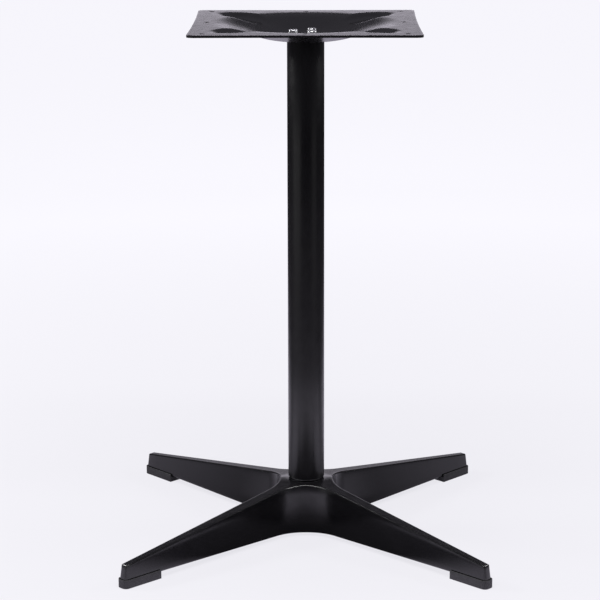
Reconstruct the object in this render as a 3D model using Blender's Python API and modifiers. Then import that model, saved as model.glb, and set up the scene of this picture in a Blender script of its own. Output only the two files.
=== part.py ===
"""Pedestal table base: pressed top plate, round column and a cast star base on four glide shoes.

Z is up. The origin is on the floor, on the column's axis. The four legs lie on the diagonals
between X and Y. Each piece is an object of its own, and all lengths below are in metres.
"""

import math

import bmesh
import bpy
from mathutils import Matrix, Vector

MM = 0.001

# Clearances.
GAP = 0.3 * MM  # between faces that rest on each other, and round a shank in its hole
INSERT_FIT = 0.3 * MM  # between an insert and the tube's bore
SHOE_FIT = 0.6 * MM  # between a leg's side and the rim of its shoe

# Overall sizes.
HEIGHT = 720.0 * MM  # floor to the rim of the top plate
FOOT_REACH = 344.8 * MM  # axis to the outer end of a shoe

# Top plate.
PLATE_SIDE = 308.0 * MM
PLATE_BOW = 2.2 * MM  # each side curves in by this much at its middle
PLATE_CORNER_RADIUS = 9.0 * MM
PLATE_THICKNESS = 3.0 * MM
SCREW_HOLE_PITCH = 133.35 * MM
SCREW_HOLE_RADIUS = 3.5 * MM
DISH_RADIUS = 116.6 * MM  # where the dish's cone meets the rim plane
DISH_DEPTH = 20.2 * MM
DISH_SLOPE = 0.294
DISH_LIP_BLEND = 4.0 * MM
DISH_FLOOR_BLEND = 5.0 * MM
TROUGH_REACH = 166.5 * MM  # axis to a trough's outer end
TROUGH_END_SLOPE = 0.3  # of a trough's bed, near its outer end
TROUGH_BED_DEPTH = 9.5 * MM  # of the bed, at the station below
TROUGH_BED_STATION = 85.0 * MM
TROUGH_BED_SLOPE = 0.055
TROUGH_BED_BLEND = 2.5 * MM
TROUGH_RADIUS = 43.0 * MM  # of its round cross-section
TROUGH_BLEND = 1.6 * MM
PLATE_SECTORS = 72
PLATE_RIM_STEPS = 7  # rings of faces between the dish and the plate's edge
SCREW_HOLE_SEGMENTS = 16

# Column.
COLUMN_RADIUS = 25.4 * MM
COLUMN_WALL = 1.5 * MM
INSERT_LENGTH = 22.0 * MM
INSERT_CHAMFER = 1.0 * MM
NECK_HEIGHT = 2.5 * MM  # of the bottom insert, showing between hub and tube
COLUMN_SEGMENTS = 48

# Star base.
LEG_COUNT = 4
HUB_TOP = 74.2 * MM
HUB_LOW = 4.2 * MM
HUB_MARGIN = 12.1 * MM  # from the column's side to the hub's waist
HUB_WAIST = COLUMN_RADIUS + HUB_MARGIN  # axis to the hub's side between two legs, at the top edge
LEG_TIP_TOP = 31.0 * MM
LEG_LOW = 8.0 * MM
LEG_TIP_HALF = 7.0 * MM  # half the leg's width at its end, at the shoe's rim
LEG_HALF_TAPER = 0.025  # growth of that half width towards the hub
LEG_CORNER_RADIUS = 4.6 * MM
SIDE_DRAFT = math.radians(5.0)
END_DRAFT = math.radians(10.0)
TOP_FILLET = 2.0 * MM
LOW_FILLET = 3.6 * MM
LEG_WALL = 4.5 * MM
LEG_ROOF = 5.0 * MM
CAVITY_END_WALL = 12.0 * MM  # solid metal between the leg's hollow and its shoe
CAVITY_CORNER_RADIUS = 2.0 * MM
WEB_THICKNESS = 12.0 * MM  # of the hub, where the column is bolted on
WEB_MARGIN = 4.0 * MM  # round the washers
RIB_THICKNESS = 4.0 * MM
RIB_HEIGHT = 18.0 * MM
RIB_STATIONS = (0.33, 0.66)  # along the hollow, from the hub's web to its outer end
ARC_STEPS = 12
CORNER_STEPS = 4
FILLET_STEPS = 3

# Glide shoes.
SHOE_LENGTH = 61.6 * MM
SHOE_RIM_TOP = 12.0 * MM
SHOE_RIM_WALL = 1.6 * MM
SHOE_EDGE = 0.8 * MM

# Column screws, at the top and at the bottom, with their washers.
BOLT_EDGE_DISTANCE = 6.6 * MM  # from a screw's axis to its insert's side
BOLT_RADIUS = 4.0 * MM
BOLT_GRIP = 16.0 * MM  # length of shank inside an insert
HEAD_RADIUS = 6.5 * MM
HEAD_HEIGHT = 8.0 * MM
HEAD_CHAMFER = 0.6 * MM
SOCKET_RADIUS = 3.5 * MM  # hexagon corner
SOCKET_DEPTH = 4.0 * MM
FLAT_WASHER_RADIUS = 8.0 * MM
FLAT_WASHER_THICKNESS = 1.6 * MM
SPRING_WASHER_RADIUS = 7.1 * MM
SPRING_WASHER_THICKNESS = 2.1 * MM
SPRING_WASHER_SLIT = math.radians(14.0)
BOLT_SEGMENTS = 20

# Shoe screws.
SHOE_SCREW_RADIUS = 2.4 * MM
SHOE_SCREW_HEAD_RADIUS = 4.6 * MM
SHOE_SCREW_HEAD_HEIGHT = 2.6 * MM
SHOE_SCREW_SEAT = 5.0 * MM  # floor to the underside of the screw's head
SHOE_SCREW_GRIP = 12.0 * MM  # length of shank inside the leg
SHOE_SCREW_SEGMENTS = 16
SHOE_SCREW_SLOT_WIDTH = 0.9 * MM
SHOE_SCREW_SLOT_DEPTH = 1.4 * MM
SHOE_SCREW_TIP_SHARE = 0.5  # radius of the screw's tip, as a share of the shank's
SHOE_SCREW_CROWN_SHARE = 0.6  # radius of the head's face, as a share of the head's

COLLECTION = "pedestal_table_base"
CUT_OVERSHOOT = 2.0 * MM

# Levels and places that follow from the sizes above.
DISH_TOP = HEIGHT - DISH_DEPTH
DISH_UNDERSIDE = DISH_TOP - PLATE_THICKNESS
TUBE_TOP = DISH_UNDERSIDE - GAP
NECK_LOW = HUB_TOP + GAP
TUBE_LOW = NECK_LOW + NECK_HEIGHT
INSERT_RADIUS = COLUMN_RADIUS - COLUMN_WALL - INSERT_FIT
BOLT_CIRCLE_RADIUS = INSERT_RADIUS - BOLT_EDGE_DISTANCE
WEB_RADIUS = BOLT_CIRCLE_RADIUS + FLAT_WASHER_RADIUS + WEB_MARGIN
WEB_LOW = HUB_TOP - WEB_THICKNESS
SHOE_PROUD = SHOE_FIT + SHOE_RIM_WALL
LEG_END = FOOT_REACH - SHOE_PROUD
SHOE_START = FOOT_REACH - SHOE_LENGTH
CAVITY_END = SHOE_START - CAVITY_END_WALL
SHOE_SCREW_STATION = FOOT_REACH - 0.5 * SHOE_LENGTH
HUB_FLAT_HALF = (HUB_WAIST - TOP_FILLET) / math.sqrt(2.0)
LEG_SLOPE = (HUB_TOP - LEG_TIP_TOP) / (LEG_END - HUB_FLAT_HALF)
LEG_ANGLES = [math.radians(45.0) + i * math.tau / LEG_COUNT for i in range(LEG_COUNT)]
LEG_NAMES = ("rear_right", "rear_left", "front_left", "front_right")
BOLT_ANGLES = [math.pi + i * math.tau / 3 for i in range(3)]


# Scene, collections and materials.

def clear_scene():
    for item in list(bpy.data.objects):
        bpy.data.objects.remove(item, do_unlink=True)


def new_collection(name):
    collection = bpy.data.collections.new(name)
    bpy.context.scene.collection.children.link(collection)
    return collection


def new_material(name, color, roughness, metallic):
    material = bpy.data.materials.new(name)
    material.use_nodes = True
    shader = material.node_tree.nodes["Principled BSDF"]
    shader.inputs["Base Color"].default_value = (*color, 1.0)
    shader.inputs["Roughness"].default_value = roughness
    shader.inputs["Metallic"].default_value = metallic
    return material


clear_scene()
PARTS = new_collection(COLLECTION)
CUTTERS = new_collection("cutters")
PLATE_COAT = new_material("plate_coat", (0.03, 0.028, 0.032), 0.32, 0.0)
COLUMN_COAT = new_material("column_coat", (0.018, 0.018, 0.02), 0.36, 0.0)
CASTING_COAT = new_material("casting_coat", (0.022, 0.021, 0.026), 0.4, 0.0)
BARE_STEEL = new_material("bare_steel", (0.1, 0.1, 0.105), 0.5, 1.0)
ZINC = new_material("zinc_plate", (0.72, 0.72, 0.74), 0.25, 1.0)
SHOE_PLASTIC = new_material("shoe_plastic", (0.05, 0.049, 0.053), 0.55, 0.0)


# Building blocks.

def add_object(name, mesh_data, material, collection=PARTS):
    """Turns a bmesh into an object of the given collection."""
    mesh = bpy.data.meshes.new(name)
    bmesh.ops.recalc_face_normals(mesh_data, faces=mesh_data.faces)
    mesh_data.to_mesh(mesh)
    mesh_data.free()
    item = bpy.data.objects.new(name, mesh)
    collection.objects.link(item)
    if material:
        mesh.materials.append(material)
    mesh.shade_smooth()
    mesh.set_sharp_from_angle(angle=math.radians(35.0))
    return item


def as_cutter(item):
    """Moves an object to the cutters' collection, where it shows as a wire and isn't built."""
    for collection in list(item.users_collection):
        collection.objects.unlink(item)
    CUTTERS.objects.link(item)
    item.hide_render = True
    item.display_type = "WIRE"
    return item


def boolean(item, other, operation):
    as_cutter(other)
    modifier = item.modifiers.new(f"{operation.lower()}_{other.name}", "BOOLEAN")
    modifier.operation = operation
    modifier.object = other
    modifier.solver = "EXACT"


def turned(name, profile, segments, material, place=(0.0, 0.0, 0.0)):
    """A turned solid. The profile runs down the outer side and closes on the axis or on itself."""
    shape = bmesh.new()
    points = [shape.verts.new((radius, 0.0, z)) for radius, z in profile]
    for start, end in zip(points, points[1:]):
        shape.edges.new((start, end))
    if profile[0][0] > 0.0:
        shape.edges.new((points[-1], points[0]))
    mesh = bpy.data.meshes.new(name)
    shape.to_mesh(mesh)
    shape.free()
    item = bpy.data.objects.new(name, mesh)
    item.location = place
    PARTS.objects.link(item)
    mesh.materials.append(material)
    screw = item.modifiers.new("turn", "SCREW")
    screw.axis = "Z"
    screw.steps = screw.render_steps = segments
    screw.use_merge_vertices = True
    screw.merge_threshold = 0.00001
    screw.use_smooth_shade = True
    return item


def cylinder(name, radius, low, high, segments, material=None, place=(0.0, 0.0)):
    """A cylinder that stands on z = low, used as a cutter or as a boss, with a flat towards +X."""
    shape = bmesh.new()
    middle = Matrix.Translation((place[0], place[1], 0.5 * (low + high)))
    bmesh.ops.create_cone(
        shape, cap_ends=True, segments=segments, radius1=radius, radius2=radius,
        depth=high - low, matrix=middle @ Matrix.Rotation(math.pi / segments, 4, "Z"),
    )
    return add_object(name, shape, material)


def loft(rings, close_low, close_high):
    """A bmesh through rings of equal counts, with end caps made by the two given functions."""
    shape = bmesh.new()
    levels = [[shape.verts.new(point) for point in ring] for ring in rings]
    for low, high in zip(levels, levels[1:]):
        for i in range(len(low)):
            j = (i + 1) % len(low)
            shape.faces.new((low[i], low[j], high[j], high[i]))
    close_low(shape, levels[0])
    close_high(shape, levels[-1])
    return shape


def one_cap(shape, ring):
    shape.faces.new(ring)


def on_circle(radius, angle, z=0.0):
    return Vector((radius * math.cos(angle), radius * math.sin(angle), z))


# The top plate: a sheet pressed into a dish with four troughs.

def soft_max(a, b, blend):
    over = max(blend - abs(a - b), 0.0)
    return max(a, b) + over * over / (4.0 * blend)


def soft_min(a, b, blend):
    return -soft_max(-a, -b, blend)


def along_diagonal(x, y):
    """Distance from the axis along the nearest leg or trough, and the distance beside it."""
    return (abs(x) + abs(y)) / math.sqrt(2.0), (abs(x) - abs(y)) / math.sqrt(2.0)


def dish_depth(x, y):
    cone = DISH_SLOPE * (DISH_RADIUS - math.hypot(x, y))
    return soft_min(DISH_DEPTH, soft_max(0.0, cone, DISH_LIP_BLEND), DISH_FLOOR_BLEND)


def trough_depth(x, y):
    """Depth of a trough's bed, which rises to the rim at its outer end and fades into the dish."""
    reach, beside = along_diagonal(x, y)
    end = TROUGH_END_SLOPE * (TROUGH_REACH - reach)
    bed = TROUGH_BED_DEPTH - TROUGH_BED_SLOPE * (reach - TROUGH_BED_STATION)
    return soft_min(end, bed, TROUGH_BED_BLEND) - beside * beside / (2.0 * TROUGH_RADIUS)


def pressed_depth(x, y):
    """How far the sheet's upper face lies below the rim plane."""
    return soft_max(dish_depth(x, y), trough_depth(x, y), TROUGH_BLEND)


def rounded_square(direction):
    """Distance from the axis to the plate's edge in a direction, with round corners and bowed sides."""
    half = 0.5 * PLATE_SIDE
    core = half - PLATE_CORNER_RADIUS
    dx, dy = abs(math.cos(direction)), abs(math.sin(direction))
    major, minor = max(dx, dy), min(dx, dy)
    flat = half / major
    if flat * minor > core:
        middle = core * (major + minor)
        flat = middle + math.sqrt(middle * middle - 2.0 * core * core + PLATE_CORNER_RADIUS ** 2)
    bow = PLATE_BOW * max(0.0, 1.0 - (flat * minor / half) ** 2)
    return flat - bow / major


def plate_ring_radii():
    """Radii of the sheet's inner rings, closer together where the sheet bends."""
    floor_edge = DISH_RADIUS - DISH_DEPTH / DISH_SLOPE
    floor_blend = DISH_FLOOR_BLEND / DISH_SLOPE
    lip = DISH_LIP_BLEND / DISH_SLOPE
    radii = [floor_edge + share * floor_blend for share in (-1.0, -0.5, 0.0, 0.5, 1.0)]
    radii += [DISH_RADIUS + share * lip for share in (-3.0, -2.0, -1.5, -1.0, -0.5, 0.0, 0.5, 1.0)]
    return radii


def plate_point(radius, direction, share):
    """A point of the sheet: share 0 is on the ring of that radius, and share 1 is on the plate's edge."""
    reach = radius + share * (rounded_square(direction) - radius)
    x, y = reach * math.cos(direction), reach * math.sin(direction)
    return Vector((x, y, HEIGHT - pressed_depth(x, y)))


def plate_rings():
    directions = [math.tau * i / PLATE_SECTORS for i in range(PLATE_SECTORS)]
    radii = plate_ring_radii()
    rings = [[plate_point(radius, way, 0.0) for way in directions] for radius in radii]
    for step in range(1, PLATE_RIM_STEPS + 1):
        rings.append([plate_point(radii[-1], way, step / PLATE_RIM_STEPS) for way in directions])
    return rings


def make_top_plate():
    rings = plate_rings()
    upper = bmesh.new()
    levels = [[upper.verts.new(point) for point in ring] for ring in rings]
    upper.faces.new(levels[0])
    for inner, outer in zip(levels, levels[1:]):
        for i in range(PLATE_SECTORS):
            j = (i + 1) % PLATE_SECTORS
            upper.faces.new((inner[i], outer[i], outer[j], inner[j]))
    plate = add_object("top_plate", upper, PLATE_COAT)
    sheet = plate.modifiers.new("sheet", "SOLIDIFY")
    sheet.thickness = PLATE_THICKNESS
    sheet.offset = -1.0
    low, high = HEIGHT - PLATE_THICKNESS - CUT_OVERSHOOT, HEIGHT + CUT_OVERSHOOT
    grid = [(column, row) for column in (-1, 0, 1) for row in (-1, 0, 1) if (column, row) != (0, 0)]
    for index, (column, row) in enumerate(grid):
        hole = cylinder(
            f"screw_hole_{index + 1}", SCREW_HOLE_RADIUS, low, high, SCREW_HOLE_SEGMENTS,
            place=(column * SCREW_HOLE_PITCH, row * SCREW_HOLE_PITCH),
        )
        boolean(plate, hole, "DIFFERENCE")
    low, high = DISH_UNDERSIDE - CUT_OVERSHOOT, DISH_TOP + CUT_OVERSHOOT
    for index, angle in enumerate(BOLT_ANGLES):
        drill(plate, f"dish_bolt_hole_{index + 1}", angle, low, high)


def drill(item, name, angle, low, high):
    """A clearance hole for one of the column's screws."""
    place = on_circle(BOLT_CIRCLE_RADIUS, angle)
    hole = cylinder(name, BOLT_RADIUS + GAP, low, high, BOLT_SEGMENTS, place=(place.x, place.y))
    boolean(item, hole, "DIFFERENCE")


# The column: a tube with an insert pressed into each end.

def make_column_tube():
    bore = COLUMN_RADIUS - COLUMN_WALL
    profile = [(COLUMN_RADIUS, TUBE_TOP), (COLUMN_RADIUS, TUBE_LOW), (bore, TUBE_LOW), (bore, TUBE_TOP)]
    turned("column_tube", profile, COLUMN_SEGMENTS, COLUMN_COAT)


def make_insert(name, low, high, hole_prefix):
    """A steel plug with three holes for the screws."""
    chamfer = INSERT_CHAMFER
    profile = [
        (0.0, high), (INSERT_RADIUS - chamfer, high), (INSERT_RADIUS, high - chamfer),
        (INSERT_RADIUS, low + chamfer), (INSERT_RADIUS - chamfer, low), (0.0, low),
    ]
    insert = turned(name, profile, COLUMN_SEGMENTS, BARE_STEEL)
    for index, angle in enumerate(BOLT_ANGLES):
        drill(insert, f"{hole_prefix}_{index + 1}", angle, low - CUT_OVERSHOOT, high + CUT_OVERSHOOT)


# The star base.

def leg_half_width(station):
    """Half the leg's width at the shoe's rim level."""
    return LEG_TIP_HALF + LEG_HALF_TAPER * (LEG_END - station)


def waist_arc():
    """Distance of the arc's centre from the axis, and its radius, at the shoe's rim level.

    The arc passes between two legs at the hub's waist and touches both legs' sides.
    """
    waist = HUB_WAIST + (HUB_TOP - SHOE_RIM_TOP) * math.tan(SIDE_DRAFT)
    slant = math.hypot(1.0, LEG_HALF_TAPER)
    lean = (1.0 + LEG_HALF_TAPER) / (math.sqrt(2.0) * slant)
    centre = (waist - leg_half_width(0.0) / slant) / (1.0 - lean)
    return centre, centre - waist


def half_outline(end, corner_radius, stations, end_draft):
    """Half a leg's outline, from the hub's waist to the middle of the leg's end.

    In the leg's own frame, with the leg along +X. Each entry is a point, its outward normal
    and how far it moves out for each unit of height below the reference level.
    """
    centre, radius = waist_arc()
    hub = Vector((centre, -centre)) / math.sqrt(2.0)
    side = Vector((LEG_HALF_TAPER, -1.0)).normalized()
    start = math.atan2(1.0, -1.0)
    stop = math.atan2(-side.y, -side.x)
    outline = []
    for step in range(ARC_STEPS + 1):
        angle = start + (stop - start) * step / ARC_STEPS
        outward = Vector((-math.cos(angle), -math.sin(angle)))
        outline.append((hub - outward * radius, outward, outward * math.tan(SIDE_DRAFT)))
    for station in stations:
        outline.append((Vector((station, -leg_half_width(station))), side, side * math.tan(SIDE_DRAFT)))
    corner = Vector((end - corner_radius, corner_radius - leg_half_width(end - corner_radius)))
    for step in range(CORNER_STEPS + 1):
        angle = math.radians(-90.0) + math.radians(90.0) * step / CORNER_STEPS
        outward = Vector((math.cos(angle), math.sin(angle)))
        draft = Vector((outward.x * math.tan(end_draft), outward.y * math.tan(SIDE_DRAFT)))
        outline.append((corner + outward * corner_radius, outward, draft))
    return outline


def star_outline(end, corner_radius, stations, end_draft):
    """The whole star's outline, leg by leg, counter-clockwise."""
    half = half_outline(end, corner_radius, stations, end_draft)
    mirrored = [tuple(Vector((v.x, -v.y)) for v in entry) for entry in reversed(half)]
    leg = half + mirrored[:-1]
    turns = [Matrix.Rotation(angle, 2) for angle in LEG_ANGLES]
    return [tuple(turn @ v for v in entry) for turn in turns for entry in leg], len(leg)


def top_level(x, y):
    """The top face's height: level at the hub, and falling along each leg."""
    reach, _ = along_diagonal(x, y)
    return HUB_TOP - LEG_SLOPE * max(0.0, reach - HUB_FLAT_HALF)


def low_level(x, y):
    """The lower edge's height, which rises a little from the hub to the shoe."""
    reach, _ = along_diagonal(x, y)
    run = (reach - HUB_FLAT_HALF) / (SHOE_START - HUB_FLAT_HALF)
    return HUB_LOW + (LEG_LOW - HUB_LOW) * min(1.0, max(0.0, run))


def star_ring(outline, inset, level, lift):
    """The outline moved in by an inset, at a height above the given level, with the draft."""
    ring = []
    for point, outward, draft in outline:
        place = point - outward * inset
        for _ in range(2):
            z = level(place.x, place.y) + lift
            place = point - outward * inset - draft * (z - SHOE_RIM_TOP)
        z = level(place.x, place.y) + lift
        ring.append(Vector((place.x, place.y, z)))
    return ring


def close_star(leg_size, split):
    """A cap for the star: a square over the hub and one flat face a leg, or two if it is split."""
    def cap(shape, ring):
        corners = [ring[leg * leg_size] for leg in range(LEG_COUNT)]
        shape.faces.new(corners)
        for leg in range(LEG_COUNT):
            nodes = [ring[(leg * leg_size + i) % len(ring)] for i in range(leg_size + 1)]
            if split:
                far = len(nodes) - 1 - split
                shape.faces.new(nodes[split:far + 1])
                nodes = nodes[:split + 1] + nodes[far:]
            shape.faces.new(nodes)
    return cap


def make_star_solid(name, material):
    outline, leg_size = star_outline(LEG_END, LEG_CORNER_RADIUS, [SHOE_START], END_DRAFT)
    quarter = [math.radians(90.0) * step / FILLET_STEPS for step in range(FILLET_STEPS + 1)]
    low_side = [(LOW_FILLET * (1.0 - math.sin(a)), LOW_FILLET * (1.0 - math.cos(a))) for a in quarter]
    top_side = [(TOP_FILLET * (1.0 - math.cos(a)), TOP_FILLET * (math.sin(a) - 1.0)) for a in quarter]
    rings = [star_ring(outline, inset, low_level, lift) for inset, lift in low_side]
    rings += [star_ring(outline, inset, top_level, lift) for inset, lift in top_side]
    shape = loft(rings, close_star(leg_size, ARC_STEPS + 1), close_star(leg_size, None))
    return add_object(name, shape, material)


def make_star_hollow():
    """The space under the star's skin, open below."""
    outline, leg_size = star_outline(CAVITY_END + LEG_WALL, CAVITY_CORNER_RADIUS + LEG_WALL, [], 0.0)
    rings = [
        star_ring(outline, LEG_WALL, low_level, -CUT_OVERSHOOT),
        star_ring(outline, LEG_WALL, top_level, -LEG_ROOF),
    ]
    shape = loft(rings, close_star(leg_size, None), close_star(leg_size, None))
    return add_object("leg_hollow", shape, None)


def make_rib(name, station, angle):
    """A wall across a leg's hollow, up to the roof."""
    roof = HUB_TOP - LEG_SLOPE * (station - HUB_FLAT_HALF) - 0.5 * LEG_ROOF
    draft = (roof - LEG_LOW) * math.tan(SIDE_DRAFT)
    width = 2.0 * (leg_half_width(station) - 0.5 * LEG_WALL - draft)
    shape = bmesh.new()
    bmesh.ops.create_cube(shape, size=1.0)
    scale = Matrix.Diagonal((RIB_THICKNESS, width, RIB_HEIGHT, 1.0))
    place = Matrix.Rotation(angle, 4, "Z") @ Matrix.Translation((station, 0.0, roof - 0.5 * RIB_HEIGHT))
    bmesh.ops.transform(shape, matrix=place @ scale, verts=shape.verts)
    return add_object(name, shape, None)


def make_star_base():
    star = make_star_solid("star_base", CASTING_COAT)
    boolean(star, make_star_hollow(), "DIFFERENCE")
    web = cylinder("hub_web", WEB_RADIUS, WEB_LOW, HUB_TOP - 0.5 * LEG_ROOF, COLUMN_SEGMENTS)
    boolean(star, web, "UNION")
    for leg, angle in enumerate(LEG_ANGLES):
        for index, share in enumerate(RIB_STATIONS):
            station = WEB_RADIUS + share * (CAVITY_END - WEB_RADIUS)
            boolean(star, make_rib(f"rib_{leg + 1}_{index + 1}", station, angle), "UNION")
    for index, angle in enumerate(BOLT_ANGLES):
        drill(star, f"hub_bolt_hole_{index + 1}", angle, WEB_LOW - CUT_OVERSHOOT, HUB_TOP + CUT_OVERSHOOT)
    for leg, angle in enumerate(LEG_ANGLES):
        place = on_circle(SHOE_SCREW_STATION, angle)
        top = LEG_LOW + SHOE_SCREW_GRIP + CUT_OVERSHOOT
        hole = cylinder(
            f"shoe_screw_hole_{leg + 1}", SHOE_SCREW_RADIUS + GAP, LEG_LOW - CUT_OVERSHOOT, top,
            SHOE_SCREW_SEGMENTS, place=(place.x, place.y),
        )
        boolean(star, hole, "DIFFERENCE")


# The glide shoes: trays that the leg ends stand in.

def shoe_outline(grow, start):
    """A leg end's outline at the rim level, grown by a margin and cut off square at the start."""
    half = half_outline(LEG_END, LEG_CORNER_RADIUS, [], 0.0)[ARC_STEPS + 1:]
    near = [point + outward * grow for point, outward, _ in half]
    begin = Vector((start, -leg_half_width(start) - grow))
    side = [begin] + near
    return side + [Vector((point.x, -point.y)) for point in reversed(side[:-1])]


def make_shoe(name, angle):
    turn = Matrix.Rotation(angle, 4, "Z")
    outer = shoe_outline(SHOE_PROUD, SHOE_START)
    sunk = shoe_outline(SHOE_PROUD - SHOE_EDGE, SHOE_START + SHOE_EDGE)
    levels = [(sunk, 0.0), (outer, SHOE_EDGE), (outer, SHOE_RIM_TOP - SHOE_EDGE), (sunk, SHOE_RIM_TOP)]
    rings = [[turn @ point.to_3d() + Vector((0.0, 0.0, z)) for point in ring] for ring, z in levels]
    shoe = add_object(name, loft(rings, one_cap, one_cap), SHOE_PLASTIC)
    recess = shoe_outline(SHOE_FIT, SHOE_START - CUT_OVERSHOOT)
    levels = (LEG_LOW - GAP, SHOE_RIM_TOP + CUT_OVERSHOOT)
    rings = [[turn @ point.to_3d() + Vector((0.0, 0.0, z)) for point in recess] for z in levels]
    boolean(shoe, add_object(f"{name}_recess", loft(rings, one_cap, one_cap), None), "DIFFERENCE")
    place = on_circle(SHOE_SCREW_STATION, angle)
    spot = (place.x, place.y)
    bore = SHOE_SCREW_RADIUS + GAP
    head = SHOE_SCREW_HEAD_RADIUS + GAP
    hole = cylinder(f"{name}_bore", bore, -CUT_OVERSHOOT, LEG_LOW, SHOE_SCREW_SEGMENTS, place=spot)
    sink = cylinder(f"{name}_sink", head, -CUT_OVERSHOOT, SHOE_SCREW_SEAT, SHOE_SCREW_SEGMENTS, place=spot)
    boolean(shoe, hole, "DIFFERENCE")
    boolean(shoe, sink, "DIFFERENCE")


def make_shoe_screw(name, angle):
    seat = SHOE_SCREW_SEAT - GAP
    low = seat - SHOE_SCREW_HEAD_HEIGHT
    tip = LEG_LOW + SHOE_SCREW_GRIP
    profile = [
        (0.0, tip), (SHOE_SCREW_TIP_SHARE * SHOE_SCREW_RADIUS, tip),
        (SHOE_SCREW_RADIUS, tip - SHOE_SCREW_RADIUS),
        (SHOE_SCREW_RADIUS, seat), (SHOE_SCREW_HEAD_RADIUS, seat),
        (SHOE_SCREW_HEAD_RADIUS, seat - 0.5 * SHOE_SCREW_HEAD_HEIGHT),
        (SHOE_SCREW_CROWN_SHARE * SHOE_SCREW_HEAD_RADIUS, low), (0.0, low),
    ]
    screw = turned(name, profile, SHOE_SCREW_SEGMENTS, ZINC, on_circle(SHOE_SCREW_STATION, angle))
    add_cross_recess(screw, name, angle, low)


def add_cross_recess(screw, name, angle, low):
    """The cross for the screwdriver, in the head's face."""
    place = on_circle(SHOE_SCREW_STATION, angle, low)
    for index in range(2):
        shape = bmesh.new()
        bmesh.ops.create_cube(shape, size=1.0)
        turn = Matrix.Rotation(angle + index * math.radians(90.0), 4, "Z")
        size = (SHOE_SCREW_HEAD_RADIUS, SHOE_SCREW_SLOT_WIDTH, 2.0 * SHOE_SCREW_SLOT_DEPTH, 1.0)
        matrix = Matrix.Translation(place) @ turn @ Matrix.Diagonal(size)
        bmesh.ops.transform(shape, matrix=matrix, verts=shape.verts)
        boolean(screw, add_object(f"{name}_slot_{index + 1}", shape, None), "DIFFERENCE")


# The screws and washers that hold the column.

def make_bolt_stack(prefix, index, angle, seat, up, through, sprung):
    """A screw with a flat washer and, where it is sprung, a spring washer.

    The stack stands on the seat, on the side that up gives (1 above it, -1 below it). The shank
    runs the other way, through the given thickness and then into the insert.
    """
    level = seat + up * GAP
    top = level + up * FLAT_WASHER_THICKNESS
    make_washer(f"{prefix}_flat_washer_{index}", angle, level, top)
    level = top + up * GAP
    if sprung:
        top = level + up * SPRING_WASHER_THICKNESS
        make_spring_washer(f"{prefix}_spring_washer_{index}", angle, level, top)
        level = top + up * GAP
    shank_end = seat - up * (through + BOLT_GRIP)
    make_bolt(f"{prefix}_screw_{index}", angle, level, up, shank_end)


def make_washer(name, angle, one, other):
    low, high = min(one, other), max(one, other)
    bore = BOLT_RADIUS + GAP
    profile = [(FLAT_WASHER_RADIUS, high), (FLAT_WASHER_RADIUS, low), (bore, low), (bore, high)]
    turned(name, profile, BOLT_SEGMENTS, ZINC, on_circle(BOLT_CIRCLE_RADIUS, angle))


def make_spring_washer(name, angle, one, other):
    """A ring with a narrow slit, turned through a little less than a full circle."""
    low, high = min(one, other), max(one, other)
    bore = BOLT_RADIUS + GAP
    section = [(SPRING_WASHER_RADIUS, high), (SPRING_WASHER_RADIUS, low), (bore, low), (bore, high)]
    rings = []
    for step in range(BOLT_SEGMENTS + 1):
        way = 0.5 * SPRING_WASHER_SLIT + (math.tau - SPRING_WASHER_SLIT) * step / BOLT_SEGMENTS
        place = on_circle(BOLT_CIRCLE_RADIUS, angle)
        rings.append([place + on_circle(radius, way, z) for radius, z in section])
    add_object(name, loft(rings, one_cap, one_cap), ZINC)


def make_bolt(name, angle, seat, up, shank_end):
    """A socket-head cap screw whose head stands on the seat."""
    head_end = seat + up * HEAD_HEIGHT
    chamfer = HEAD_CHAMFER
    profile = [
        (0.0, head_end), (HEAD_RADIUS - chamfer, head_end), (HEAD_RADIUS, head_end - up * chamfer),
        (HEAD_RADIUS, seat), (BOLT_RADIUS, seat), (BOLT_RADIUS, shank_end + up * chamfer),
        (BOLT_RADIUS - chamfer, shank_end), (0.0, shank_end),
    ]
    if up < 0:
        profile.reverse()
    place = on_circle(BOLT_CIRCLE_RADIUS, angle)
    bolt = turned(name, profile, BOLT_SEGMENTS, ZINC, place)
    ends = (head_end - up * SOCKET_DEPTH, head_end + up * CUT_OVERSHOOT)
    spot = (place.x, place.y)
    socket = cylinder(f"{name}_socket", SOCKET_RADIUS, min(ends), max(ends), 6, place=spot)
    boolean(bolt, socket, "DIFFERENCE")


def main():
    make_top_plate()
    make_column_tube()
    make_insert("column_top_insert", TUBE_TOP - INSERT_LENGTH, TUBE_TOP, "top_insert_hole")
    make_insert("column_bottom_insert", NECK_LOW, TUBE_LOW + INSERT_LENGTH, "bottom_insert_hole")
    make_star_base()
    for name, angle in zip(LEG_NAMES, LEG_ANGLES):
        make_shoe(f"shoe_{name}", angle)
        make_shoe_screw(f"shoe_screw_{name}", angle)
    for index, angle in enumerate(BOLT_ANGLES):
        make_bolt_stack("top", index + 1, angle, DISH_TOP, 1, PLATE_THICKNESS + GAP, False)
        make_bolt_stack("bottom", index + 1, angle, WEB_LOW, -1, WEB_THICKNESS + GAP, True)


main()
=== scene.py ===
# %% [markdown]
# # A pedestal table base
#
# This base carries a cafe table. A cast star stands on four shoes, a round column is screwed to
# the middle of the star, and a pressed square plate on top of the column takes the table top.
# Everything is powder coated black, so the whole look hangs on form, soft edges and reflections.
#
# The imported model comes in first. It fixes every size, and each finer piece below is built round
# it. Its box is kept.

# %% Load the frame
import math

import bpy
from mathutils import Matrix, Vector


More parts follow.
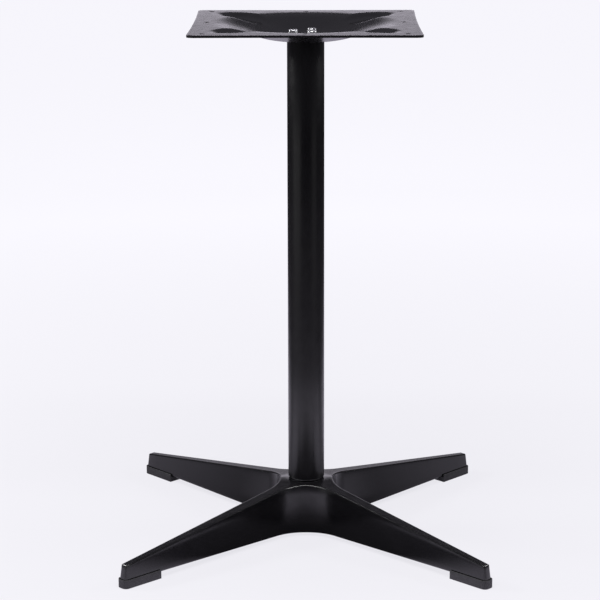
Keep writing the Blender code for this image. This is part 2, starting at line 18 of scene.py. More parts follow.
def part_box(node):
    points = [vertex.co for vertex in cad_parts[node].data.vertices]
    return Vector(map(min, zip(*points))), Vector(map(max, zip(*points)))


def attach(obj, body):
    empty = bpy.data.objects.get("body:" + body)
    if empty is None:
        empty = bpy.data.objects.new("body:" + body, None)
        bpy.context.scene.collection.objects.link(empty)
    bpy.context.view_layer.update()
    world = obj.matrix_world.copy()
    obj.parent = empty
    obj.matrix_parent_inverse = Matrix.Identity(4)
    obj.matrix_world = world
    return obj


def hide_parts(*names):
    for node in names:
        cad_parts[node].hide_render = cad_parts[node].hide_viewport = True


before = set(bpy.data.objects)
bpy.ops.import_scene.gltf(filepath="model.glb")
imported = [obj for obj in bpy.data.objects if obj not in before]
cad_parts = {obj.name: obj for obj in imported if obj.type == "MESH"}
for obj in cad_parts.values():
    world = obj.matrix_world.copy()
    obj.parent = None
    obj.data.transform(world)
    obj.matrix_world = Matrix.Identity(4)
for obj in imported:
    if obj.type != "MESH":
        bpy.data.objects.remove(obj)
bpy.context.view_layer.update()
MM = 0.001
print("nodes in the frame:", len(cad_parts))

# %% [markdown]
# ## Where the camera stands
#
# The camera stands about three metres in front, a little over a metre up, with a long lens, so
# that the column's sides stay almost parallel. It looks down by about fourteen degrees.

# %% Set the camera
SENSOR = 36.0
camera_data = bpy.data.cameras.new("camera")
camera_data.sensor_width = SENSOR
camera_data.lens = 128.275
camera_data.shift_x = -0.00083
camera_data.shift_y = 0.00083
camera = bpy.data.objects.new("camera", camera_data)
camera.location = (0.01878, -2.89736, 1.04856)
camera.rotation_euler = (math.radians(76.1129), math.radians(0.118), math.radians(0.495))
bpy.context.scene.collection.objects.link(camera)
bpy.context.scene.camera = camera
print("lens:", camera_data.lens, "mm")

# %% [markdown]
# ## Small tools for the bench
#
# Every piece is made the same way: clear the selection, add a primitive, shape it, name it, give
# it a finish and tie it to the base. These helpers hold the steps that repeat.

# %% Helpers for making pieces
def clear_selection():
    if bpy.context.object and bpy.context.object.mode != "OBJECT":
        bpy.ops.object.mode_set(mode="OBJECT")
    bpy.ops.object.select_all(action="DESELECT")


def make_active(piece):
    clear_selection()
    piece.select_set(True)
    bpy.context.view_layer.objects.active = piece


def new_piece(name):
    """Names the primitive that was just added."""
    piece = bpy.context.object
    piece.name = piece.data.name = name
    return piece


def apply_modifier(piece, kind, **settings):
    make_active(piece)
    modifier = piece.modifiers.new(kind.lower(), kind)
    for key, value in settings.items():
        setattr(modifier, key, value)
    bpy.ops.object.modifier_apply(modifier=modifier.name)


def cut_or_join(piece, other, operation):
    """Cuts the other piece away from this one, or joins it on, and removes it."""
    apply_modifier(piece, "BOOLEAN", operation=operation, object=other, solver="EXACT")
    bpy.data.objects.remove(other, do_unlink=True)


def soft_edges(piece, width, segments, angle=35.0):
    apply_modifier(
        piece, "BEVEL", width=width, segments=segments, limit_method="ANGLE",
        angle_limit=math.radians(angle), harden_normals=False,
    )


def settle(piece, angle=35.0):
    """Puts the piece's place into its mesh and smooths it, apart from its real edges."""
    make_active(piece)
    bpy.ops.object.transform_apply(location=True, rotation=True, scale=True)
    bpy.ops.object.shade_smooth_by_angle(angle=math.radians(angle))


def finish_piece(piece, slot, material, *nodes):
    """Gives a piece its finish, ties it to the base and lets it stand for CAD nodes."""
    piece.data.materials.clear()
    piece.data.materials.append(material)
    if nodes:
        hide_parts(*nodes)
    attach(piece, "root")
    print(piece.name, len(piece.data.polygons), "faces")


def bend_grid(name, columns, rows, place):
    """A grid primitive whose points are put where place(column, row) says, with doubles merged."""
    clear_selection()
    bpy.ops.mesh.primitive_grid_add(x_subdivisions=columns, y_subdivisions=rows, size=1.0)
    piece = new_piece(name)
    across = columns + 1
    for index, vertex in enumerate(piece.data.vertices):
        vertex.co = place(index % across, index // across)
    bpy.ops.object.mode_set(mode="EDIT")
    bpy.ops.mesh.select_all(action="SELECT")
    bpy.ops.mesh.remove_doubles(threshold=0.00002)
    bpy.ops.mesh.normals_make_consistent(inside=False)
    bpy.ops.object.mode_set(mode="OBJECT")
    return piece


def ease(value, blend):
    """The value where it is positive and 0 where it isn't, with a soft turn between the two."""
    if value <= -blend:
        return 0.0
    if value >= blend:
        return value
    return (value + blend) ** 2 / (4.0 * blend)


print("helpers are ready")

# %% [markdown]
# ## Finishes
#
# Powder coat is a thin skin of baked plastic. Close up it has a fine orange peel, and it is a
# touch thinner and brighter along edges. One recipe serves the sheet, the tube and the casting.
# The casting is the glossiest, over the most uneven ground. Every pattern reads Object coordinates,
# so it is tied to the metal.

# %% Helpers for node materials
def new_finish(name):
    material = bpy.data.materials.new(name)
    material.use_nodes = True
    tree = material.node_tree
    return material, tree, tree.nodes["Principled BSDF"]


def add_node(tree, kind, **settings):
    node = tree.nodes.new(kind)
    for key, value in settings.items():
        setattr(node, key, value)
    return node


def object_noise(tree, scale, detail=2.0, stretch=None):
    """A noise pattern tied to the piece. Scale counts features per metre."""
    place = add_node(tree, "ShaderNodeTexCoord").outputs["Object"]
    if stretch:
        mapping = add_node(tree, "ShaderNodeMapping")
        mapping.inputs["Scale"].default_value = stretch
        tree.links.new(place, mapping.inputs["Vector"])
        place = mapping.outputs["Vector"]
    noise = add_node(tree, "ShaderNodeTexNoise")
    noise.inputs["Scale"].default_value = scale
    noise.inputs["Detail"].default_value = detail
    tree.links.new(place, noise.inputs["Vector"])
    return noise.outputs["Fac"]


def spread(tree, value, low, high, low_in=0.3, high_in=0.7):
    """Maps a pattern's usual range to a range of numbers."""
    node = add_node(tree, "ShaderNodeMapRange")
    node.inputs["From Min"].default_value = low_in
    node.inputs["From Max"].default_value = high_in
    node.inputs["To Min"].default_value = low
    node.inputs["To Max"].default_value = high
    tree.links.new(value, node.inputs["Value"])
    return node.outputs["Result"]


def two_tone(tree, share, one, other):
    """A colour between two, by a share from 0 to 1."""
    mix = add_node(tree, "ShaderNodeMix", data_type="RGBA")
    mix.inputs[6].default_value = (*one, 1.0)
    mix.inputs[7].default_value = (*other, 1.0)
    tree.links.new(share, mix.inputs[0])
    return mix.outputs[2]


def bump(tree, height, depth, under=None):
    """Relief of a real depth in metres, laid over an earlier one."""
    node = add_node(tree, "ShaderNodeBump")
    node.inputs["Strength"].default_value = 1.0
    node.inputs["Distance"].default_value = depth
    tree.links.new(height, node.inputs["Height"])
    if under:
        tree.links.new(under, node.inputs["Normal"])
    return node.outputs["Normal"]


print("material helpers are ready")

# %% Powder coats
PATCHES_PER_METRE = 35.0
GLOSS_PATCHES_PER_METRE = 90.0
GROUND_PER_METRE = 60.0
PEEL_PER_METRE = 900.0
PATCH_SHARE = 0.45
WORN_FROM, WORN_TO = 0.53, 0.62
COAT_IOR = 1.5


def powder_coat(name, dark, light, low_gloss, high_gloss, peel_depth, ground_depth):
    """Orange peel over a slightly uneven ground, with a paler tone on worn edges and in patches."""
    material, tree, shader = new_finish(name)
    patches = spread(tree, object_noise(tree, PATCHES_PER_METRE, 4.0), 0.0, PATCH_SHARE)
    pointed = add_node(tree, "ShaderNodeNewGeometry").outputs["Pointiness"]
    worn = spread(tree, pointed, 0.0, 1.0, WORN_FROM, WORN_TO)
    share = add_node(tree, "ShaderNodeMath", operation="ADD", use_clamp=True)
    tree.links.new(patches, share.inputs[0])
    tree.links.new(worn, share.inputs[1])
    tree.links.new(two_tone(tree, share.outputs[0], dark, light), shader.inputs["Base Color"])
    gloss = spread(tree, object_noise(tree, GLOSS_PATCHES_PER_METRE, 3.0), low_gloss, high_gloss)
    tree.links.new(gloss, shader.inputs["Roughness"])
    ground = bump(tree, object_noise(tree, GROUND_PER_METRE, 3.0), ground_depth)
    peel = bump(tree, object_noise(tree, PEEL_PER_METRE, 2.0), peel_depth, ground)
    tree.links.new(peel, shader.inputs["Normal"])
    shader.inputs["IOR"].default_value = COAT_IOR
    return material


casting_coat = powder_coat(
    "casting_coat", (0.0042, 0.004, 0.0048), (0.0074, 0.007, 0.0084), 0.15, 0.20, 0.000003, 0.00002)
column_coat = powder_coat(
    "column_coat", (0.0055, 0.0052, 0.006), (0.0085, 0.0082, 0.0092), 0.28, 0.34, 0.000004, 0.000005)
plate_coat = powder_coat(
    "plate_coat", (0.0035, 0.0032, 0.004), (0.006, 0.0056, 0.0068), 0.24, 0.28, 0.0000008, 0.000003)
print("powder coats:", casting_coat.name, column_coat.name, plate_coat.name)

# %% [markdown]
# The screws and washers are zinc plated: bright, a little uneven, with fine turning marks. The
# plugs inside the tube are plain machined steel. The shoes are moulded plastic, much more matte
# than the coat, with the fine grain of an etched mould.

# %% Zinc, steel and moulded plastic
def bright_metal(name, dark, light, low_gloss, high_gloss, mark_scale):
    material, tree, shader = new_finish(name)
    shader.inputs["Metallic"].default_value = 1.0
    share = spread(tree, object_noise(tree, 260.0, 4.0), 0.0, 1.0)
    tree.links.new(two_tone(tree, share, dark, light), shader.inputs["Base Color"])
    gloss = spread(tree, object_noise(tree, 700.0, 3.0), low_gloss, high_gloss)
    tree.links.new(gloss, shader.inputs["Roughness"])
    marks = object_noise(tree, mark_scale, 2.0, stretch=(0.12, 0.12, 1.0))
    tree.links.new(bump(tree, marks, 0.00001), shader.inputs["Normal"])
    return material


def moulded_plastic(name):
    material, tree, shader = new_finish(name)
    share = spread(tree, object_noise(tree, 120.0, 5.0), 0.0, 1.0)
    tone = two_tone(tree, share, (0.018, 0.0174, 0.0196), (0.028, 0.027, 0.0304))
    tree.links.new(tone, shader.inputs["Base Color"])
    gloss = spread(tree, object_noise(tree, 500.0, 3.0), 0.58, 0.72)
    tree.links.new(gloss, shader.inputs["Roughness"])
    grain = bump(tree, object_noise(tree, 1800.0, 4.0), 0.00006)
    tree.links.new(grain, shader.inputs["Normal"])
    return material


zinc_plate = bright_metal("zinc_plate", (0.62, 0.62, 0.64), (0.85, 0.85, 0.87), 0.18, 0.3, 3000.0)
bare_steel = bright_metal("bare_steel", (0.20, 0.20, 0.205), (0.34, 0.34, 0.35), 0.35, 0.55, 2500.0)
shoe_plastic = moulded_plastic("shoe_plastic")
print("metals and plastic:", zinc_plate.name, bare_steel.name, shoe_plastic.name)

# %% [markdown]
# ## The star
#
# The star is one hollow casting. Seen from above, its four legs taper a little and run into each
# other through wide arcs. The sides lean in by five degrees, the draft that lets a casting leave
# its mould, and every outer edge is rounded. Its skin is one closed sheet, so it is made from one
# grid: a column of the grid for each point of the outline, and a row for each level of the skin,
# from the roof of the hollow, down inside, round the lower edge, up outside and in over the top
# to the middle line of each leg.

# %% The star's measures
star_low, star_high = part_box("star_base")
HUB_TOP = star_high.z
HUB_LOW = star_low.z
LEG_TIP_TOP = 31.0 * MM
LEG_LOW = 8.0 * MM
SHOE_RIM_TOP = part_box("shoe_front_left")[1].z
HUB_WAIST = 37.5 * MM
LEG_END = 342.6 * MM
SHOE_START = 283.2 * MM
LEG_TIP_HALF = 7.0 * MM
LEG_HALF_TAPER = 0.025
SIDE_LEAN = math.tan(math.radians(5.0))
END_LEAN = math.tan(math.radians(10.0))
END_CORNER = 4.6 * MM
TOP_ROUND = 2.0 * MM
LOW_ROUND = 3.6 * MM
WALL = 4.5 * MM
ROOF = 5.0 * MM
END_WALL = 12.0 * MM
HOLLOW_END = SHOE_START - END_WALL
HOLLOW_CORNER = 2.0 * MM
HUB_FLAT_HALF = (HUB_WAIST - TOP_ROUND) / math.sqrt(2.0)
TOP_SLOPE = (HUB_TOP - LEG_TIP_TOP) / (LEG_END - HUB_FLAT_HALF)
TOP_BLEND = 8.0 * MM
LEG_ANGLES = [math.radians(45.0 + 90.0 * leg) for leg in range(4)]
print("hub top at", round(HUB_TOP / MM, 1), "mm, legs fall by", round(TOP_SLOPE, 3))


# %% The star's levels
def reach_along_leg(x, y):
    return (abs(x) + abs(y)) / math.sqrt(2.0)


def top_level(x, y):
    """The top face: level at the hub, then falling along each leg."""
    return HUB_TOP - TOP_SLOPE * ease(reach_along_leg(x, y) - HUB_FLAT_HALF, TOP_BLEND)


def low_level(x, y):
    """The lower edge, which rises a little from the hub to the shoe."""
    run = (reach_along_leg(x, y) - HUB_FLAT_HALF) / (SHOE_START - HUB_FLAT_HALF)
    return HUB_LOW + (LEG_LOW - HUB_LOW) * min(1.0, max(0.0, run))


def leg_half_width(station):
    return LEG_TIP_HALF + LEG_HALF_TAPER * (LEG_END - station)


print("half width at the hub:", round(leg_half_width(0.0) / MM, 1), "mm")

# %% The star's outline
ARC_STEPS = 22
SIDE_STEPS = 14
CORNER_STEPS = 7


def half_outline(end, corner, end_lean):
    """Half the outline of the leg along +X. Each entry is a point, its outward direction and its lean."""
    waist = HUB_WAIST + (HUB_TOP - SHOE_RIM_TOP) * SIDE_LEAN
    slant = math.hypot(1.0, LEG_HALF_TAPER)
    facing = (1.0 + LEG_HALF_TAPER) / (math.sqrt(2.0) * slant)
    centre = (waist - leg_half_width(0.0) / slant) / (1.0 - facing)
    radius = centre - waist
    middle = Vector((centre, -centre)) / math.sqrt(2.0)
    side = Vector((LEG_HALF_TAPER, -1.0)).normalized()
    first, last = math.atan2(1.0, -1.0), math.atan2(-side.y, -side.x)
    outline = []
    for step in range(ARC_STEPS + 1):
        angle = first + (last - first) * step / ARC_STEPS
        outward = Vector((-math.cos(angle), -math.sin(angle)))
        outline.append((middle - outward * radius, outward, outward * SIDE_LEAN))
    begin = outline[-1][0].x
    stop = end - corner
    for step in range(1, SIDE_STEPS):
        station = begin + (stop - begin) * step / SIDE_STEPS
        outline.append((Vector((station, -leg_half_width(station))), side, side * SIDE_LEAN))
    hinge = Vector((stop, corner - leg_half_width(stop)))
    for step in range(CORNER_STEPS + 1):
        angle = math.radians(-90.0 + 90.0 * step / CORNER_STEPS)
        outward = Vector((math.cos(angle), math.sin(angle)))
        lean = Vector((outward.x * end_lean, outward.y * SIDE_LEAN))
        outline.append((hinge + outward * corner, outward, lean))
    return outline


def whole_outline(end, corner, end_lean):
    """The star's outline, leg by leg, with each point's partner on the leg's middle line."""
    half = half_outline(end, corner, end_lean)
    stop = end - 2.0 * corner
    with_partners = []
    for index, (point, outward, lean) in enumerate(half):
        share = min(1.0, index / ARC_STEPS)
        partner = Vector((min(stop, point.x - (1.0 - share) * half[0][0].x), 0.0))
        with_partners.append((point, outward, lean, partner))
    mirrored = [tuple(Vector((v.x, -v.y)) for v in entry) for entry in reversed(with_partners)]
    leg = with_partners + mirrored[1:-1]
    turns = [Matrix.Rotation(angle, 2) for angle in LEG_ANGLES]
    return [tuple(turn @ v for v in entry) for turn in turns for entry in leg]


outer_outline = whole_outline(LEG_END, END_CORNER, END_LEAN)
inner_outline = whole_outline(HOLLOW_END + WALL, WALL + HOLLOW_CORNER, 0.0)
print("outline points:", len(outer_outline))

# %% The star's skin
FILLET_STEPS = 5
CAP_STEPS = 7
SIDE_ROWS = 5
INNER_LIP = 0.8 * MM
INNER_LIFTS = (22.0 * MM, 10.0 * MM, INNER_LIP)


def skin_point(entry, inset, level, lift, share):
    """A point of the skin. Share 1 is on the outline at that inset, and 0 on the leg's middle line."""
    point, outward, lean, partner = entry
    place = point - outward * inset
    for _ in range(3):
        z = level(place.x, place.y) + lift
        place = point - outward * inset - lean * (z - SHOE_RIM_TOP)
    place = partner + (place - partner) * share
    return Vector((place.x, place.y, level(place.x, place.y) + lift))


def skin_rows():
    """Each row: which outline, inset, level, lift and share."""
    quarter = [math.radians(90.0) * step / FILLET_STEPS for step in range(FILLET_STEPS + 1)]
    cap_shares = [step / CAP_STEPS for step in range(CAP_STEPS + 1)]
    rows = [(inner_outline, WALL, top_level, -ROOF, share) for share in cap_shares]
    rows += [(inner_outline, WALL, low_level, lift, 1.0) for lift in INNER_LIFTS]
    rows += [(inner_outline, WALL - INNER_LIP, low_level, 0.0, 1.0)]
    for angle in quarter:
        inset, lift = LOW_ROUND * (1.0 - math.sin(angle)), LOW_ROUND * (1.0 - math.cos(angle))
        rows.append((outer_outline, inset, low_level, lift, 1.0))
    rows += [(outer_outline, 0.0, None, step / SIDE_ROWS, 1.0) for step in range(1, SIDE_ROWS)]
    for angle in quarter:
        inset, lift = TOP_ROUND * (1.0 - math.cos(angle)), TOP_ROUND * (math.sin(angle) - 1.0)
        rows.append((outer_outline, inset, top_level, lift, 1.0))
    rows += [(outer_outline, TOP_ROUND, top_level, 0.0, 1.0 - share) for share in cap_shares[1:]]
    return rows


STAR_ROWS = skin_rows()


def star_place(column, row):
    """The skin's point for a grid column and row. Rows without a level climb the outer side."""
    outline, inset, level, lift, share = STAR_ROWS[row]
    entry = outline[column % len(outline)]
    if level:
        return skin_point(entry, inset, level, lift, share)
    low = skin_point(entry, 0.0, low_level, LOW_ROUND, 1.0)
    high = skin_point(entry, 0.0, top_level, -TOP_ROUND, 1.0)
    return low.lerp(high, lift)


star = bend_grid("star_skin", len(outer_outline), len(STAR_ROWS) - 1, star_place)
print("star skin:", len(star.data.vertices), "points")

# %% [markdown]
# Inside the hub a thick web takes the screws, and two ribs across each leg keep the walls from
# spreading. They are joined on with a Boolean, and the screw holes are cut through the web.

# %% Web, ribs and screw holes
WEB_RADIUS = 29.0 * MM
WEB_THICK = 12.0 * MM
RIB_THICK = 4.0 * MM
WEB_BELOW_TOP = 2.0 * MM
RIB_TALL = 18.0 * MM
RIB_SHARES = (0.33, 0.66)
SCREW_RADIUS = 4.0 * MM
HOLE_RADIUS = SCREW_RADIUS + 0.3 * MM
HOLE_DEEP = 20.0 * MM
PAST = 5.0 * MM


def bench_cylinder(name, radius, low, high, place=(0.0, 0.0), segments=48):
    clear_selection()
    bpy.ops.mesh.primitive_cylinder_add(
        vertices=segments, radius=radius, depth=high - low, location=(*place, 0.5 * (low + high)))
    return new_piece(name)


def screw_places():
    """Where the three screws stand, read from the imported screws."""
    boxes = [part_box(f"top_screw_{index}") for index in (1, 2, 3)]
    return [(0.5 * (low.x + high.x), 0.5 * (low.y + high.y)) for low, high in boxes]


def rib_across(angle, station):
    """A rib across one leg's hollow, from wall to wall under the roof."""
    roof = HUB_TOP - TOP_SLOPE * (station - HUB_FLAT_HALF) - 0.5 * ROOF
    wide = 2.0 * (leg_half_width(station) - 0.5 * WALL - (roof - LEG_LOW) * SIDE_LEAN)
    spot = (station * math.cos(angle), station * math.sin(angle), roof - 0.5 * RIB_TALL)
    clear_selection()
    bpy.ops.mesh.primitive_cube_add(size=1.0, location=spot, rotation=(0.0, 0.0, angle))
    rib = new_piece("rib")
    rib.scale = (RIB_THICK, wide, RIB_TALL)
    settle(rib)
    return rib


web = bench_cylinder("web", WEB_RADIUS, HUB_TOP - WEB_THICK, HUB_TOP - WEB_BELOW_TOP, segments=96)
cut_or_join(star, web, "UNION")
for angle in LEG_ANGLES:
    for share in RIB_SHARES:
        cut_or_join(star, rib_across(angle, WEB_RADIUS + share * (HOLLOW_END - WEB_RADIUS)), "UNION")
for spot in screw_places():
    hole = bench_cylinder("hole", HOLE_RADIUS, HUB_TOP - HOLE_DEEP, HUB_TOP + PAST, spot)
    cut_or_join(star, hole, "DIFFERENCE")
settle(star, 32.0)
finish_piece(star, "casting_coat", casting_coat, "star_base")

# %% [markdown]
# ## The glide shoes
#
# Each leg stands in a plastic tray that holds the leg's end on three sides and is open towards
# the column. The tray follows the leg's outline at a small distance, with softly rounded edges. It
# is made once, along +X, and copied round. The leg's end leans back, so its bed is a pocket with
# upright walls.

# %% One shoe
SHOE_WALL = 1.4 * MM
SHOE_PLAY = 0.8 * MM
SHOE_ROUND = 0.42 * MM
SHOE_BED = LEG_LOW - 0.3 * MM
SHOE_BORE = 2.7 * MM
SHOE_SINK = 4.9 * MM
SINK_DEEP = 5.0 * MM
BORE_TOP = 12.0 * MM
SHOE_SCREW_STATION = 0.5 * (SHOE_START + LEG_END + SHOE_WALL + SHOE_PLAY)


def shoe_prism(name, grow, start, low, high):
    """A leg end's outline, grown by a margin and cut off square at its start, as a prism."""
    half = half_outline(LEG_END, END_CORNER, 0.0)[ARC_STEPS + SIDE_STEPS:]
    side = [Vector((start, -leg_half_width(start) - grow))]
    side += [point + outward * grow for point, outward, _ in half]
    outline = side + [Vector((point.x, -point.y)) for point in reversed(side[:-1])]
    clear_selection()
    bpy.ops.mesh.primitive_circle_add(vertices=len(outline), radius=1.0, fill_type="NGON")
    piece = new_piece(name)
    for vertex, point in zip(piece.data.vertices, outline):
        vertex.co = (point.x, point.y, low)
    bpy.ops.object.mode_set(mode="EDIT")
    bpy.ops.mesh.select_all(action="SELECT")
    bpy.ops.mesh.extrude_region_move(TRANSFORM_OT_translate={"value": (0.0, 0.0, high - low)})
    bpy.ops.mesh.select_all(action="SELECT")
    bpy.ops.mesh.normals_make_consistent(inside=False)
    bpy.ops.object.mode_set(mode="OBJECT")
    return piece


shoe = shoe_prism("shoe", SHOE_PLAY + SHOE_WALL, SHOE_START, 0.0, SHOE_RIM_TOP)
bed = shoe_prism("bed", SHOE_PLAY, SHOE_START - PAST, SHOE_BED, SHOE_RIM_TOP + PAST)
cut_or_join(shoe, bed, "DIFFERENCE")
spot = (SHOE_SCREW_STATION, 0.0)
cut_or_join(shoe, bench_cylinder("bore", SHOE_BORE, -PAST, BORE_TOP, spot), "DIFFERENCE")
cut_or_join(shoe, bench_cylinder("sink", SHOE_SINK, -PAST, SINK_DEEP, spot), "DIFFERENCE")
soft_edges(shoe, SHOE_ROUND, 3, 40.0)
print("shoe:", len(shoe.data.polygons), "faces")


# %% Four shoes
def turned_copy(piece, name, angle):
    """A copy with its own mesh, turned about the column's axis."""
    copy = piece.copy()
    copy.data = piece.data.copy()
    copy.name = copy.data.name = name
    copy.matrix_world = Matrix.Rotation(angle, 4, "Z")
    bpy.context.scene.collection.objects.link(copy)
    settle(copy)
    return copy


LEG_NAMES = ("rear_right", "rear_left", "front_left", "front_right")
for leg_name, angle in zip(LEG_NAMES, LEG_ANGLES):
    copy = turned_copy(shoe, f"glide_{leg_name}", angle)
    finish_piece(copy, "shoe_plastic", shoe_plastic, f"shoe_{leg_name}")
bpy.data.objects.remove(shoe, do_unlink=True)

# %% [markdown]
# ## The column
#
# The column is a plain two inch tube, cut square and coated. A cylinder without its ends gets a
# wall from Solidify and a small bevel that takes the sharp edge off each end.

# %% The tube
tube_low, tube_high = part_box("column_tube")
TUBE_RADIUS = tube_high.x
TUBE_WALL = 1.5 * MM
TUBE_EDGE = 0.08 * MM
clear_selection()
bpy.ops.mesh.primitive_cylinder_add(
    vertices=160, radius=TUBE_RADIUS, depth=tube_high.z - tube_low.z, end_fill_type="NOTHING",
    location=(0.0, 0.0, 0.5 * (tube_low.z + tube_high.z)))
tube = new_piece("column")
bpy.ops.object.mode_set(mode="EDIT")
bpy.ops.mesh.select_all(action="SELECT")
bpy.ops.mesh.subdivide(number_cuts=3)
bpy.ops.object.mode_set(mode="OBJECT")
print("tube radius:", round(TUBE_RADIUS / MM, 2), "mm")

# %% The tube's wall and ends
apply_modifier(tube, "SOLIDIFY", thickness=TUBE_WALL, offset=-1.0)
soft_edges(tube, TUBE_EDGE, 2, 60.0)
settle(tube)
finish_piece(tube, "column_coat", column_coat, "column_tube")

# %% [markdown]
# ## The pressed plate
#
# The plate starts as flat sheet and is pressed into a shallow round dish, so that the column's
# screws sit below the table top, with four shallow troughs that stiffen the corners. Its sides bow in
# a little. A polar grid follows the pressing, Solidify gives the sheet its thickness, and the
# screw holes are cut last.

# %% The plate's measures
plate_low, plate_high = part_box("top_plate")
RIM = plate_high.z
HALF_SIDE = plate_high.x
SIDE_BOW = 2.2 * MM
CORNER = 9.0 * MM
SHEET = 3.0 * MM
DISH_RADIUS = 116.6 * MM
DISH_DEPTH = RIM - plate_low.z - SHEET
DISH_SLOPE = 0.294
LIP_BLEND = 4.0 * MM
FLOOR_BLEND = 5.0 * MM
TROUGH_REACH = 166.5 * MM
TROUGH_END_SLOPE = 0.3
TROUGH_BED_DEPTH = 9.5 * MM
TROUGH_BED_STATION = 85.0 * MM
TROUGH_BED_SLOPE = 0.055
TROUGH_BED_BLEND = 2.5 * MM
TROUGH_RADIUS = 43.0 * MM
TROUGH_BLEND = 1.6 * MM
print("dish depth:", round(DISH_DEPTH / MM, 1), "mm")


# %% The plate's form
def soft_max(a, b, blend):
    over = max(blend - abs(a - b), 0.0)
    return max(a, b) + over * over / (4.0 * blend)


def soft_min(a, b, blend):
    return -soft_max(-a, -b, blend)


def pressed_depth(x, y):
    """How far the sheet's upper face lies below the rim."""
    cone = DISH_SLOPE * (DISH_RADIUS - math.hypot(x, y))
    dish = soft_min(DISH_DEPTH, soft_max(0.0, cone, LIP_BLEND), FLOOR_BLEND)
    reach, beside = reach_along_leg(x, y), (abs(x) - abs(y)) / math.sqrt(2.0)
    end = TROUGH_END_SLOPE * (TROUGH_REACH - reach)
    bed = TROUGH_BED_DEPTH - TROUGH_BED_SLOPE * (reach - TROUGH_BED_STATION)
    trough = soft_min(end, bed, TROUGH_BED_BLEND) - beside * beside / (2.0 * TROUGH_RADIUS)
    return soft_max(dish, trough, TROUGH_BLEND)


def edge_reach(direction):
    """Distance from the axis to the plate's edge in a direction."""
    core = HALF_SIDE - CORNER
    dx, dy = abs(math.cos(direction)), abs(math.sin(direction))
    major, minor = max(dx, dy), min(dx, dy)
    reach = HALF_SIDE / major
    if reach * minor > core:
        middle = core * (major + minor)
        reach = middle + math.sqrt(middle * middle - 2.0 * core * core + CORNER ** 2)
    bow = SIDE_BOW * max(0.0, 1.0 - (reach * minor / HALF_SIDE) ** 2)
    return reach - bow / major


print("corner reach:", round(edge_reach(math.radians(45.0)) / MM, 1), "mm")

# %% The plate's sheet
PLATE_SECTORS = 288
PLATE_ROUNDS = 54
EVEN_ROUNDS = 40
EVEN_REACH = 131.0 * MM


def plate_place(column, row):
    """Even rings out past the dish's lip, then rings that turn gradually into the square edge."""
    direction = math.tau * (column + 0.5) / PLATE_SECTORS
    if row <= EVEN_ROUNDS:
        reach = EVEN_REACH * row / EVEN_ROUNDS
    else:
        share = (row - EVEN_ROUNDS) / (PLATE_ROUNDS - EVEN_ROUNDS)
        reach = EVEN_REACH + share * (edge_reach(direction) - EVEN_REACH)
    x, y = reach * math.cos(direction), reach * math.sin(direction)
    return Vector((x, y, RIM - pressed_depth(x, y)))


plate = bend_grid("pressed_plate", PLATE_SECTORS, PLATE_ROUNDS, plate_place)
if sum(face.normal.z for face in plate.data.polygons) < 0.0:
    plate.data.flip_normals()
apply_modifier(plate, "SOLIDIFY", thickness=SHEET, offset=-1.0, use_even_offset=True)
print("plate sheet:", len(plate.data.polygons), "faces")

# %% The plate's holes and edges
HOLE_PITCH = 133.35 * MM
TABLE_HOLE_RADIUS = 3.5 * MM
RIM_CUT_DEEP = 10.0 * MM
DISH_CUT_DEEP = 40.0 * MM
for column in (-1, 0, 1):
    for row in (-1, 0, 1):
        if (column, row) != (0, 0):
            spot = (column * HOLE_PITCH, row * HOLE_PITCH)
            hole = bench_cylinder("hole", TABLE_HOLE_RADIUS, RIM - RIM_CUT_DEEP, RIM + PAST, spot, 32)
            cut_or_join(plate, hole, "DIFFERENCE")
for spot in screw_places():
    hole = bench_cylinder("hole", HOLE_RADIUS, RIM - DISH_CUT_DEEP, RIM + PAST, spot, 32)
    cut_or_join(plate, hole, "DIFFERENCE")
soft_edges(plate, 0.45 * MM, 2, 50.0)
settle(plate, 40.0)
finish_piece(plate, "plate_coat", plate_coat, "top_plate")

# %% [markdown]
# ## Screws and washers
#
# Three socket-head screws at each end hold the column. A head is a cylinder with rolled edges. The
# shank is joined on and the hexagon socket is cut in, and a small bevel dresses the result. Each
# kind is made once, standing on z = 0 on the column's axis, and copied to its places.

# %% One cap screw
HEAD_RADIUS = 6.5 * MM
HEAD_TALL = 8.0 * MM
SOCKET_RADIUS = 3.5 * MM
SOCKET_DEEP = 4.0 * MM


def cap_screw(name, length):
    """A cap screw that stands on z = 0 with its head up and its shank down."""
    head = bench_cylinder(name, HEAD_RADIUS, 0.0, HEAD_TALL, segments=64)
    soft_edges(head, 0.7 * MM, 3, 60.0)
    cut_or_join(head, bench_cylinder("shank", SCREW_RADIUS, -length, 1.0 * MM, segments=48), "UNION")
    socket_top = HEAD_TALL + 2.0 * MM
    socket = bench_cylinder("socket", SOCKET_RADIUS, HEAD_TALL - SOCKET_DEEP, socket_top, segments=6)
    settle(socket)
    cut_or_join(head, socket, "DIFFERENCE")
    soft_edges(head, 0.15 * MM, 1, 50.0)
    settle(head, 30.0)
    return head


top_low, top_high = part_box("top_screw_1")
top_screw = cap_screw("top_cap_screw", top_high.z - top_low.z - HEAD_TALL)
low_low, low_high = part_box("bottom_screw_1")
low_screw = cap_screw("bottom_cap_screw", low_high.z - low_low.z - HEAD_TALL)
print("screw lengths:", round((top_high.z - top_low.z) / MM, 1), round((low_high.z - low_low.z) / MM, 1))

# %% One flat washer and one spring washer
FLAT_RADIUS, FLAT_THICK = 8.0 * MM, 1.6 * MM
SPRING_RADIUS, SPRING_THICK = 7.1 * MM, 2.1 * MM
SLIT_SLANT = math.radians(25.0)


def washer(name, outer, inner, thick):
    ring = bench_cylinder(name, outer, 0.0, thick, segments=64)
    cut_or_join(ring, bench_cylinder("eye", inner, -1.0 * MM, thick + 1.0 * MM, segments=64), "DIFFERENCE")
    soft_edges(ring, 0.2 * MM, 2, 50.0)
    return ring


